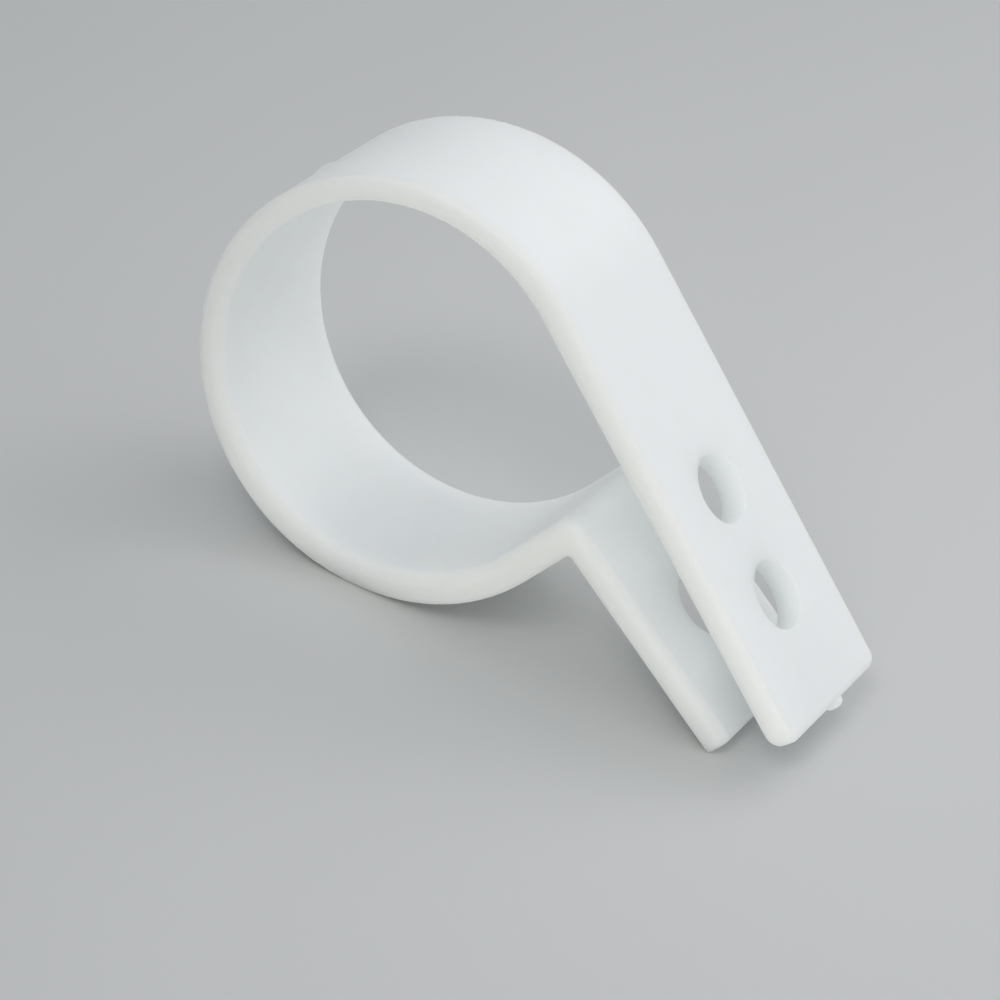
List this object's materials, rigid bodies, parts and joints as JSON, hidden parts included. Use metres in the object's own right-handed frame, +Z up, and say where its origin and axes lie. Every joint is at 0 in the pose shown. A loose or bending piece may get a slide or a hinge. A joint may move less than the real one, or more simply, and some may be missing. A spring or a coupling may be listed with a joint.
{
  "type": "p clip",
  "caption": "Open P-shaped cable clip: a round loop with a flat tangent strap and a shorter bent tab over it, both with round holes for a fixing screw.",
  "frame": {"origin": "centre of the cable bore, at the middle of the clip's width", "axes": "+Y along the cable, across the width of the strap; +Z up with the clip lying on its loop and on the end of its tab; +X towards the ends of strap and tab, with the strap sloping down that way at about 45 degrees"},
  "size_m": [0.0346, 0.01, 0.0217],
  "materials": {
    "nylon": "satin, milky and slightly translucent"
  },
  "bodies": {
    "root": {"clip": "nylon"}
  },
  "joints": []
}
